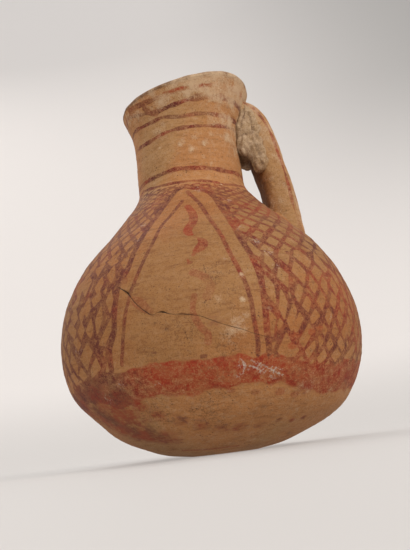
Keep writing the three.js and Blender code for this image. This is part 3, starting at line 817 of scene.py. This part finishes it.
def beside(reach, across, z):
    # a point in the handle's plane, or to the front of it by a negative across
    east, north = turned(handle["azimuth"])
    reach, across, z = np.broadcast_arrays(reach, across, z)
    return np.stack([reach * east - across * north, reach * north + across * east, z], -1)


def handleLine(count):
    # the middle line at equal steps, by a centripetal curve through the path
    knots = np.array(handle["path"], float)
    chords = np.diff(padEnds(knots), axis=0)
    gaps = np.linalg.norm(chords, axis=1, keepdims=True) ** 0.5
    t = np.linspace(0, 1, 40, endpoint=False)[:, None]
    pulls = chords / gaps
    turns = (chords[:-1] + chords[1:]) / (gaps[:-1] + gaps[1:])
    slopes = pulls[:-1] - turns + pulls[1:]  # at each knot of the path
    rows = [
        curveBetween(start, stop, leave * gap, arrive * gap, t)
        for start, stop, leave, arrive, gap in zip(knots, knots[1:], slopes, slopes[1:], gaps[1:])
    ]
    line = np.vstack(rows + [knots[-1:]])
    steps = np.concatenate([[0], np.cumsum(np.linalg.norm(np.diff(line, axis=0), axis=1))])
    even = np.linspace(0, steps[-1], count)
    return np.stack([np.interp(even, steps, part) for part in line.T], 1), even[:, None]


def handleMarks(turn, run, first):
    # a painted line near each outer edge, a worn grey margin outside it, and painted shade with a brown stain on the
    # inner face
    down, facing = run + 0 * turn, first + 0 * run
    wander = 3.5 * ripple(0, down, 55, 8, (0, 0), (20, 70))
    uneven = handle["lineHalfWidth"] * (1 + 0.25 * ripple(0, down, 56, 10, (0, 0), (6, 25)))
    gaps = [np.abs(aroundFrom(turn, spot) + wander) for spot in handle["lineTurns"]]
    values = {
        "paint": np.maximum(uneven - np.minimum(*gaps) * handle["lineScale"], -4),
        "tint": 0.55,
        "cover": 0.4 + 0.55 * smooth(handle["lineEnd"], handle["lineEnd"] - 22, down),
        "pale": np.maximum(0.45 * smooth(0.6, 0.78, facing), 0.22 + 0.2 * smooth(40, 12, down)),
        # painted shade and a brown stain on the inner face
        "dirtAndShade": 0.6 * smooth(-0.72, -0.95, facing),
        "warm": 0.1 + 0.75 * np.abs(facing) ** 2,
        "shade": 0.85 * smooth(-0.4, -0.95, facing),
    }
    return {
        name: data if np.isscalar(data) else np.append(data.ravel(), [plainMarks[name]] * 2)
        for name, data in values.items()
    }


def handlePiece(name):
    middle, run = handleLine(handle["rings"])
    along = np.gradient(middle, axis=0)
    along /= np.linalg.norm(along, axis=1, keepdims=True)
    turn = np.linspace(0, 360, handle["sides"], endpoint=False)
    power = 2 / handle["squareness"]
    first, second = (np.sign(part) * np.abs(part) ** power for part in (-turned(turn)[1], turned(turn)[0]))
    spread = 1 + handle["flare"] * np.abs(2 * run / run[-1] - 1) ** 6
    uneven = handle["wobble"] * ripple(turn, run, 51, 16, (1, 5), (14, 60))
    uneven = uneven + handle["ridges"] * ripple(turn, run, 52, 30, (4, 20), (4, 12))
    thick = first * (handle["thickness"] / 2 * spread + uneven)
    wide = second * (handle["width"] / 2 * spread + uneven)
    points = beside(middle[:, :1] - along[:, 1:] * thick, wide, middle[:, 1:] + along[:, :1] * thick)
    ends = beside(middle[[0, -1], 0], 0, middle[[0, -1], 1])
    points = holdInWall(np.vstack([points.reshape(-1, 3), ends]))
    azimuth = np.degrees(np.arctan2(points[:, 0], -points[:, 1]))
    ground = shoulderTop(np.hypot(points[:, 0], points[:, 1]), azimuth) - 2
    foot = points[:, 2] < handle["footTop"]
    points[:, 2] = np.where(foot, np.maximum(points[:, 2], ground), points[:, 2])
    faces = tubeFaces(handle["rings"], handle["sides"])
    return makeMesh(name, points, faces, handleMarks(turn, run, first), 60)


fillet = {
    "root": 99.3,
    "reach": 42.6,
    "spread": 6,
    "height": 6,
    "outerShare": 0.8,
    "overlap": 1.5,
    "rings": 18,
    "sides": 144,
    "marks": {"warm": 0.7, "shade": 0.5},
    "node": "lower_luting_fillet",
    "material": "filletClay",
    **handleFinish,
}


def filletPiece(name):
    # clay drawn up from the shoulder round the handle's foot, less on its outer side
    slope = float(profileSlope(fillet["root"]))
    halfDown = handle["thickness"] / 2 * math.hypot(1, 1 / slope)
    turn = np.linspace(0, 360, fillet["sides"], endpoint=False)
    sine, cosine = np.sin(np.radians(turn)), np.cos(np.radians(turn))
    share = 1 - (1 - fillet["outerShare"]) * (1 + cosine) / 2
    smear = share * (1 + 0.12 * ripple(turn, 0, 61, 8, (2, 7)))

    def ringAt(spread, rise, sink):
        aside = (handle["width"] / 2 + spread * smear) * sine
        z = fillet["root"] - (halfDown + spread * smear) * cosine / math.hypot(1, slope)
        azimuth = handle["azimuth"] + np.degrees(aside / fillet["reach"])
        radius = outerRadius(z, azimuth)
        east, north = turned(azimuth)
        return np.stack([radius * east, radius * north, z + rise * share - sink], 1)

    spread, height, overlap = fillet["spread"], fillet["height"], fillet["overlap"]
    rings = [ringAt(spread * 0.5, 0, 4), ringAt(spread, 0, 1)]
    for step in np.linspace(0, 1, fillet["rings"]):
        rings.append(ringAt(spread * (1 - step) - overlap * step, height * step**2.2, 0.12 * (1 - step)))
    rings.append(ringAt(-overlap - 2, height * 0.6, 0))
    ends = beside(fillet["reach"], 0, fillet["root"] + np.array([-4, 1]))
    points = np.vstack(rings + [ends])
    return makeMesh(name, points, tubeFaces(len(rings), fillet["sides"]), fillet["marks"], 60)


wad = {
    "lumps": [  # reach, across, height, then half sizes out, across and up, and lean in degrees
        (29.4, -8.4, 155.4, 5.0, 4.4, 7.2, -8),
        (31.6, -7.2, 149.6, 5.0, 4.4, 7.0, 8),
        (26.4, -9.4, 149.0, 4.2, 4.0, 8.0, 0),
        (30.4, -8.2, 142.0, 6.2, 4.7, 6.0, 10),
        (26.2, -9.4, 141.6, 3.8, 3.8, 6.0, 0),
        (32.4, -8.4, 137.2, 4.4, 4.0, 5.4, 20),
        (33.6, -8.2, 132.6, 4.0, 4.0, 5.8, 16),
        (30.0, 0.0, 141.9, 7.0, 12.0, 6.2, 0),
        (29.9, 9.6, 153.8, 4.8, 4.8, 7.0, -6),
        (31.0, 9.4, 146.0, 5.0, 5.6, 6.2, 8),
        (31.2, 9.4, 141.0, 5.4, 5.4, 5.0, 10),
    ],
    "voxel": 0.45,
    "creases": [  # seen from the front: sideways and height
        [(29.5, 160.2), (29.4, 156.7), (27.6, 152.5), (26.8, 149.1)],
        [(31.4, 156.4), (32.4, 151.9), (32.6, 147.5), (30.7, 145.6)],
        [(33.6, 138.6), (33.9, 136.6), (33.8, 135)],
        [(26.2, 144.9), (29.1, 145.4), (32.4, 146.6), (35.2, 143.6)],
        [(29.9, 134.1), (30.9, 129.7), (31.9, 126.2)],
        [(32.9, 138.8), (33.8, 133.5), (34.5, 130.1)],
        [(30.7, 128.9), (32.7, 126.1), (34.9, 122.4)],
    ],
    "creaseDepth": 0.45,
    "creaseWidth": 0.7,
    "ballRings": 16,
    "ballSides": 28,
    "soften": (0.6, 22),  # factor and rounds
    "lumpy": 0.2,
    "folds": 0.09,
    "shadeUnder": (137, 131),
    "shadeSide": (31, 27),
    "warmUnder": (136, 124),
    "node": "upper_luting_wad",
    "material": "wadClay",
    "streakTallness": 0.3, "streaks": 0.6, "specks": 0.26, "pits": 0.1, "wear": 0.6,
    "grainBump": 0.3, "streakBump": 0.3, "roughness": 0.93,
}


def creaseDepths(points):
    best = np.zeros(len(points))
    for line in wad["creases"]:
        fine = smoothLine(line, 10)
        gap = np.hypot(points[:, :1] - fine[:, 0], points[:, 2:] - fine[:, 1]).min(1)
        best = np.maximum(best, np.exp(-((gap / wad["creaseWidth"]) ** 2)))
    return best


def wadLumps():
    # overlapping balls of clay, pushed into each other
    rings, sides = wad["ballRings"], wad["ballSides"]
    polar = math.pi * np.arange(1, rings)[:, None] / rings
    turn = 2 * math.pi * np.arange(sides) / sides
    ball = np.stack([np.sin(polar) * np.cos(turn), np.sin(polar) * np.sin(turn), np.cos(polar) + 0 * turn], -1)
    ball = np.vstack([ball.reshape(-1, 3), [(0, 0, 1), (0, 0, -1)]])
    points, faces = [], []
    for reach, across, z, *halves, lean in wad["lumps"]:
        u, v, w = (ball * halves).T
        leanSide, leanUp = math.sin(math.radians(lean)), math.cos(math.radians(lean))
        faces += [face[::-1] for face in tubeFaces(rings - 1, sides, len(points))]
        points += beside(reach + u * leanUp + w * leanSide, across + v, z + w * leanUp - u * leanSide).tolist()
    lumps = bpy.data.meshes.new("wadLumps")
    lumps.from_pydata((holdInWall(points) * mm).tolist(), [], faces)
    return linkNew("wadLumps", lumps)


def wadPiece(name):
    lumps = wadLumps()
    merge = lumps.modifiers.new("merge", "REMESH")
    merge.mode, merge.voxel_size = "VOXEL", wad["voxel"] * mm
    soften = lumps.modifiers.new("soften", "SMOOTH")
    soften.factor, soften.iterations = wad["soften"]
    mesh = bpy.data.meshes.new_from_object(lumps.evaluated_get(bpy.context.evaluated_depsgraph_get()))
    mesh.name = name
    bpy.data.objects.remove(lumps)
    spots, normals = np.zeros((2, len(mesh.vertices) * 3))
    mesh.vertices.foreach_get("co", spots)
    mesh.vertices.foreach_get("normal", normals)
    spots, normals = spots.reshape(-1, 3) / mm, normals.reshape(-1, 3)
    x, z = spots[:, 0], spots[:, 2]
    around = np.degrees(np.arctan2(x - 30, -spots[:, 1]))
    lumpy = wad["lumpy"] * ripple(around * 3, z, 71, 30, (2, 9), (4, 14))
    folds = wad["folds"] * ripple(around * 6, z, 72, 30, (3, 12), (3, 9))
    crease = creaseDepths(spots) * smooth(0.1, -0.4, normals[:, 1])
    moved = spots + normals * (lumpy + folds - wad["creaseDepth"] * crease)[:, None]
    mesh.vertices.foreach_set("co", (holdInWall(moved) * mm).ravel())
    # painted shade under the wad towards the neck, and darker creases
    under = 0.45 * smooth(*wad["shadeUnder"], z) * smooth(*wad["shadeSide"], x)
    warm = 0.3 + 0.5 * smooth(*wad["warmUnder"], z)
    addMarks(mesh, {"dirtAndShade": np.maximum(crease * 0.48, under), "warm": warm, "pale": 0.38})
    mesh.shade_smooth()
    return linkNew(name, mesh)


class Wire:
    # a socket that can be used in sums
    def __init__(self, recipe, socket):
        self.recipe, self.socket = recipe, socket

    def __add__(self, other):
        return self.recipe.maths("ADD", self, other)

    def __radd__(self, other):
        return self.recipe.maths("ADD", other, self)

    def __sub__(self, other):
        return self.recipe.maths("SUBTRACT", self, other)

    def __rsub__(self, other):
        return self.recipe.maths("SUBTRACT", other, self)

    def __mul__(self, other):
        return self.recipe.maths("MULTIPLY", self, other)

    def __rmul__(self, other):
        return self.recipe.maths("MULTIPLY", other, self)


class Recipe:
    # the node tree of one finish
    def __init__(self, name):
        self.material = bpy.data.materials.new(name)
        self.material.use_nodes = True
        self.tree = self.material.node_tree
        self.tree.nodes.clear()

    def node(self, kind, settings, inputs, output=0):
        made = self.tree.nodes.new("ShaderNode" + kind)
        for key, value in settings.items():
            setattr(made, key, value)
        for key, value in inputs.items():
            if isinstance(value, Wire):
                self.tree.links.new(value.socket, made.inputs[key])
            else:
                made.inputs[key].default_value = value
        return Wire(self, made.outputs[output]) if made.outputs else None

    def maths(self, operation, *values):
        return self.node("Math", {"operation": operation}, dict(enumerate(values)))

    def size(self, value):
        return self.maths("ABSOLUTE", value)

    def read(self, name):
        return self.node("Attribute", {"attribute_name": name}, {}, "Fac")

    def place(self):
        return self.node("TexCoord", {}, {}, "Object")

    def stretch(self, place, across, up):
        return self.node("Mapping", {}, {"Vector": place, "Scale": (across, across, up)})

    def noise(self, place, grainSize, detail=3, rough=0.55):
        # grainSize in mm
        sockets = {"Vector": place, "Scale": 1000 / grainSize, "Detail": detail, "Roughness": rough}
        return self.node("TexNoise", {}, sockets, "Fac")

    def specks(self, place, gap):
        # distance to the nearest of scattered points, 0 to about 1
        return self.node("TexVoronoi", {}, {"Vector": place, "Scale": 1000 / gap, "Randomness": 1}, "Distance")

    def between(self, value, low, high, start=0, end=1):
        sockets = {"Value": value, "From Min": low, "From Max": high, "To Min": start, "To Max": end}
        return self.node("MapRange", {"interpolation_type": "SMOOTHSTEP"}, sockets)

    def blend(self, share, first, second, mode="MIX"):
        settings = {"data_type": "RGBA", "blend_type": mode, "clamp_factor": True}
        return self.node("Mix", settings, {0: share, 6: first, 7: second}, 2)

    def finish(self, sockets):
        self.node("OutputMaterial", {}, {"Surface": self.node("BsdfPrincipled", {}, sockets)})
        return self.material


def colour(red, green, blue):
    # a display colour from 0 to 255 as scene light
    linear = [v / 255 / 12.92 if v <= 10.3 else ((v / 255 + 0.055) / 1.055) ** 2.4 for v in (red, green, blue)]
    return (*linear, 1)


bodyClay = {
    "buff": colour(156, 116, 73),
    "orange": colour(163, 111, 65),
    "brown": colour(114, 72, 40),
    "deep": colour(74, 44, 26),
    "light": colour(168, 136, 104),
    "depositAndSheen": colour(180, 152, 120),
    "rust": colour(136, 41, 13),
    "maroon": colour(84, 33, 22),
    "worn": colour(122, 68, 44),
    "chalk": colour(172, 156, 142),
    "gap": colour(44, 26, 18),
    "shade": colour(229, 215, 198),  # multiplies the clay by the shade mark: painted shade low on the left and on the handle's inner face, and darker places elsewhere
}
wadClay = dict(
    bodyClay,
    buff=colour(156, 128, 94),
    orange=colour(152, 114, 76),
    brown=colour(98, 66, 40),
    light=colour(188, 160, 130),
    depositAndSheen=colour(180, 154, 126),
)


def clayFinish(name, clay, finish):
    recipe = Recipe(name)
    between, read, blend, size = recipe.between, recipe.read, recipe.blend, recipe.size
    place = recipe.place()
    banded = recipe.stretch(place, 1, finish["streakTallness"])

    def noise(*choices, on=place):
        return recipe.noise(on, *choices)

    cloud = noise(34, 2)
    patch = noise(9, 4, 0.6)
    grain = noise(1.6, 4, 0.65)
    fine = noise(0.5, 3, 0.6)
    streak = noise(26, 4, 0.6, on=banded)
    scuff = noise(4.2, 5, 0.7)
    wiped = noise(1.3, 4, 0.7, on=recipe.stretch(place, 0.22, 1))
    dirtAndShade, pale, chalk, streaks = read("dirtAndShade"), read("pale"), read("chalk"), finish["streaks"]

    # mottled clay, wiped while wet
    tone = between(read("warm") + 0.7 * (cloud - 0.5) + 0.9 * (patch - 0.5), 0.15, 0.85)
    base = blend(tone, clay["buff"], clay["orange"])
    for share, tint in (
        (between(patch, 0.52, 0.8) * 0.5, "brown"),
        (between(streak, 0.5, 0.78) * streaks, "light"),
        (between(streak, 0.5, 0.24) * streaks * 0.8, "brown"),
        (between(grain, 0.46, 0.74) * 0.5, "light"),
        (between(fine, 0.52, 0.32) * 0.55, "brown"),
        (between(wiped, 0.5, 0.3) * 0.5, "brown"),
        (between(wiped, 0.54, 0.74) * 0.4, "light"),
    ):
        base = blend(share, base, clay[tint])
    # the shade mark darkens the clay: painted shade low on the left and on the handle's inner face, and darker places
    # elsewhere
    base = blend(read("shade"), base, clay["shade"], "MULTIPLY")

    # dark inclusions and small pits
    pitSize = between(noise(6.5, 2), 0.48, 0.78, 0, finish["pits"])
    pit = between(recipe.specks(place, 3.1) - pitSize, 0.05, -0.03)
    speckSize = between(noise(5, 3, 0.7), 0.42, 0.75, 0, finish["specks"])
    speck = between(recipe.specks(place, 1.15) - speckSize, 0.1, -0.06)
    base = blend(speck * 0.65, base, clay["deep"])
    base = blend(pit * 0.7, base, clay["deep"])

    # washes of red and brown, dirt and painted shade, and fine scratches
    smeared = noise(9, 4, 0.65, on=banded)
    wash = between(read("wash") + 1.0 * (smeared - 0.5) + 1.5 * (grain - 0.5) + 0.9 * (fine - 0.5), 0.05, 0.9)
    washTone = blend(between(patch, 0.3, 0.65) * 0.75, clay["maroon"], clay["rust"])
    base = blend(wash * between(read("wash"), 0, 0.3) * 0.8, base, washTone)
    base = blend(between(dirtAndShade + 0.6 * (grain - 0.5), 0.15, 0.9) * 0.7, base, clay["deep"])
    hairs = size(noise(2.6, 3, 0.6) - 0.5)
    scratches = between(hairs, 0.03, 0.006)
    base = blend(scratches * between(dirtAndShade, 0.03, 0.25) * 0.55, base, clay["deep"])

    # paint: wavering edge, thin places and rubbed spots
    body = between(read("paint") + 1.0 * (grain - 0.5) + 0.7 * (fine - 0.5), -0.16, 0.18)
    rubbed = between(scuff + 0.35 * (fine - 0.5), finish["wear"], finish["wear"] - 0.22)
    thin = between(grain + 0.5 * (fine - 0.5), 0.7, 0.46, 0.5, 1)
    cover = body * read("cover") * thin * (0.6 + 0.4 * rubbed) * (1 - 0.3 * scratches)
    mixed = read("tint") + 1.2 * (patch - 0.5) + 1.4 * (grain - 0.5) + 0.8 * (fine - 0.5)
    pigment = blend(between(mixed, 0, 1), clay["maroon"], clay["rust"])
    pigment = blend(between(fine + 0.4 * (scuff - 0.5), 0.52, 0.75) * 0.4, pigment, clay["worn"])
    base = blend(cover, base, pigment)

    # pale deposits and painted sheen, chalky scuffs and scrapes
    dustAndSheen = pale + 1.3 * (scuff - 0.5) + 0.8 * (patch - 0.5) + 0.6 * (fine - 0.5)
    settledAndSheen = between(dustAndSheen, 0.22, 0.8) * between(pale, 0, 0.2)
    base = blend(settledAndSheen * 0.85, base, clay["depositAndSheen"])
    base = blend(settledAndSheen * between(grain, 0.56, 0.72) * 0.45, base, clay["brown"])
    hairs = between(hairs, 0.05, 0.012) * between(noise(1.1, 2), 0.4, 0.62)
    scuffed = hairs * between(chalk + 0.8 * (scuff - 0.5), 0.2, 0.75)
    scraped = between(chalk + 1.6 * (fine - 0.5) + 1.2 * (grain - 0.5), 1.1, 1.8)
    base = blend(scuffed * 0.6 + scraped * 0.6, base, clay["chalk"])

    crack = between(read("crackWide") - size(read("crackSide")) + 0.12 * (fine - 0.5), -0.09, 0.05)
    base = blend(crack * 0.9, base, clay["gap"])

    height = finish["grainBump"] * grain + 0.03 * fine + finish["streakBump"] * streak
    height = height + 0.25 * scuff * finish["roughness"] - 0.16 * pit - 0.06 * speck
    height = height + 0.02 * cover + 0.08 * settledAndSheen - 0.3 * crack
    rough = between(fine + 0.25 * cover, 0.2, 1.0, finish["roughness"], finish["roughness"] - 0.14)
    normal = recipe.node("Bump", {}, {"Strength": 1, "Distance": mm, "Height": height})
    return recipe.finish({"Base Color": base, "Roughness": rough, "Normal": normal, "Specular IOR Level": 0.3})


def give(piece, made, clay=bodyClay):
    # its finish, its body and the node that it stands for
    piece.data.materials.append(clayFinish(made["material"], clay, made))
    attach(piece, "root")
    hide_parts(made["node"])
    print("piece:", piece.name, len(piece.data.polygons))


basePad = {"node": "base_pad", "material": "basePadClay", **wallFinish}
lowerBowl = {
    "node": "lower_bowl", "material": "lowerBowlClay", "seams": (jug["baseTop"], jug["bowlSeam"]), **wallFinish,
}
bellyCourse = {
    "node": "belly_course", "material": "bellyClay", "seams": (jug["bowlSeam"], jug["bellySeam"]), **wallFinish,
}
shoulderCourse = {
    "node": "shoulder_course", "material": "shoulderClay", "seams": (jug["bellySeam"], jug["neckSeam"]), **wallFinish,
}
neckTube = {"node": "neck_tube", "material": "neckClay", "seams": (jug["neckSeam"], jug["rimSeam"]), **wallFinish}
rimCollar = {"node": "rim_collar", "material": "rimClay", "seams": (jug["rimSeam"], None), **wallFinish}

print("jug: pieces")
give(basePiece("basePad"), basePad)
for name, made in (
    ("lowerBowl", lowerBowl), ("bellyCourse", bellyCourse), ("shoulderCourse", shoulderCourse),
    ("neckTube", neckTube), ("rimCollar", rimCollar),
):
    give(coursePiece(name, *made["seams"]), made)
print("handle, its fillet and its wad")
give(handlePiece("strapHandle"), handle)
give(filletPiece("lowerFillet"), fillet)
give(wadPiece("upperWad"), wad, wadClay)

studio = {
    "flatRadius": 0.33,  # the studio is in metres
    "wallRadius": 3.2,
    "bend": 0.35,  # height gained per square metre of distance beyond the flat
    "sides": 144,
    "floor": colour(138, 133, 129),
    "glow": colour(236, 232, 228),
    "glowStrength": 0.42,  # a lit table: the backdrop glows as painted light, so that the shadow under the jug stays pale
    "wall": colour(166, 160, 156),
    # painted shade on the backdrop towards the right and up
    "cornerShade": colour(62, 58, 54),
    "nearWallShade": colour(120, 116, 112),  # painted shade close to the window light, which evens out its bright patch on the wall
    "lights": {  # place, size, power and colour
        "windowLight": ((1.5, -1.25, 0.8), 1.5, 62, (1.0, 0.97, 0.93)),
        "roomFill": ((-0.4, -1.3, 0.62), 0.9, 8.5, (0.97, 0.98, 1.0)),
        "backLight": ((-1.0, 1.1, 2.3), 1.6, 22, (1.0, 0.99, 0.97)),
    },
    "aim": (0, 0, 0.08),
    "sky": colour(236, 238, 242),
    "skyStrength": 0.95,
}


def makeStage():
    # a wide pale bowl: flat under the jug, then rising evenly without a line
    flat, count = studio["flatRadius"], studio["sides"]
    beyond = np.concatenate([np.zeros(4), (studio["wallRadius"] - flat) * np.linspace(0, 1, 41)[1:]])
    radii = beyond + flat * np.minimum(np.arange(1, len(beyond) + 1) / 4, 1)
    angles = np.arange(count) * 2 * math.pi / count
    rings = [
        np.stack([radius * np.cos(angles), radius * np.sin(angles), studio["bend"] * rise**2 + 0 * angles], 1)
        for radius, rise in zip(radii, beyond)
    ]
    faces = [(0, 1 + i, 1 + (i + 1) % count) for i in range(count)]
    for k in range(len(rings) - 1):
        faces += stripFaces(k, k + 1, count, 1)
    backdrop = makeMesh("paleBackdrop", np.vstack([(0, 0, 0)] + rings) / mm, faces)
    recipe = Recipe("paleTable")
    between, blend, place = recipe.between, recipe.blend, recipe.place()
    side, front, height = (recipe.node("SeparateXYZ", {}, {"Vector": place}, axis) for axis in "XYZ")
    base = blend(between(height, 0, 0.14), studio["floor"], studio["wall"])
    # painted shade: the wall darker to the right and higher up
    base = blend(between(side, -0.2, 1.3) * between(height, 0.1, 1.4), base, studio["cornerShade"])
    sockets = {
        "Base Color": blend(between(front, -0.35, -1.1), base, studio["nearWallShade"]),
        "Roughness": 0.75,
        "Specular IOR Level": 0.2,
        "Emission Color": studio["glow"],
        "Emission Strength": studio["glowStrength"],
    }
    backdrop.data.materials.append(recipe.finish(sockets))


def lightStudio():
    for name, (place, size, power, tint) in studio["lights"].items():
        light = bpy.data.lights.new(name, "AREA")
        light.shape, light.size, light.energy, light.color = "DISK", size, power, tint
        lamp = linkNew(name, light)
        lamp.location = place
        lamp.rotation_mode = "QUATERNION"
        lamp.rotation_quaternion = (Vector(studio["aim"]) - Vector(place)).to_track_quat("-Z", "Y")
        lamp.visible_camera = False
    world = bpy.data.worlds.new("paleRoom")
    world.use_nodes = True
    background = world.node_tree.nodes["Background"].inputs
    background["Color"].default_value = studio["sky"]
    background["Strength"].default_value = studio["skyStrength"]
    bpy.context.scene.world = world


view = {
    "place": (0.9, -310.9, 5.5),  # mm
    "raise": 13.7,  # degrees above level
    "roll": 7.2,
    "lens": 44.575,
}


def makeCamera():
    rise, roll = math.radians(view["raise"]), math.radians(view["roll"])
    forward = Vector((0, math.cos(rise), math.sin(rise)))
    right, up = Vector((1, 0, 0)), Vector((0, -math.sin(rise), math.cos(rise)))
    across = right * math.cos(roll) - up * math.sin(roll)
    above = right * math.sin(roll) + up * math.cos(roll)
    data = bpy.data.cameras.new("photoCamera")
    data.lens, data.sensor_width, data.sensor_fit = view["lens"], 36, "AUTO"
    data.clip_start, data.clip_end = 0.01, 20
    camera = linkNew("photoCamera", data)
    turn = Matrix((across, above, -forward)).transposed().to_4x4()
    camera.matrix_world = Matrix.Translation(Vector(view["place"]) * mm) @ turn
    bpy.context.scene.camera = camera


print("stage, light and camera")
makeStage()
lightStudio()
makeCamera()
bpy.context.scene.view_settings.view_transform = "Standard"
bpy.context.scene.view_settings.look = "None"

bpy.context.view_layer.update()
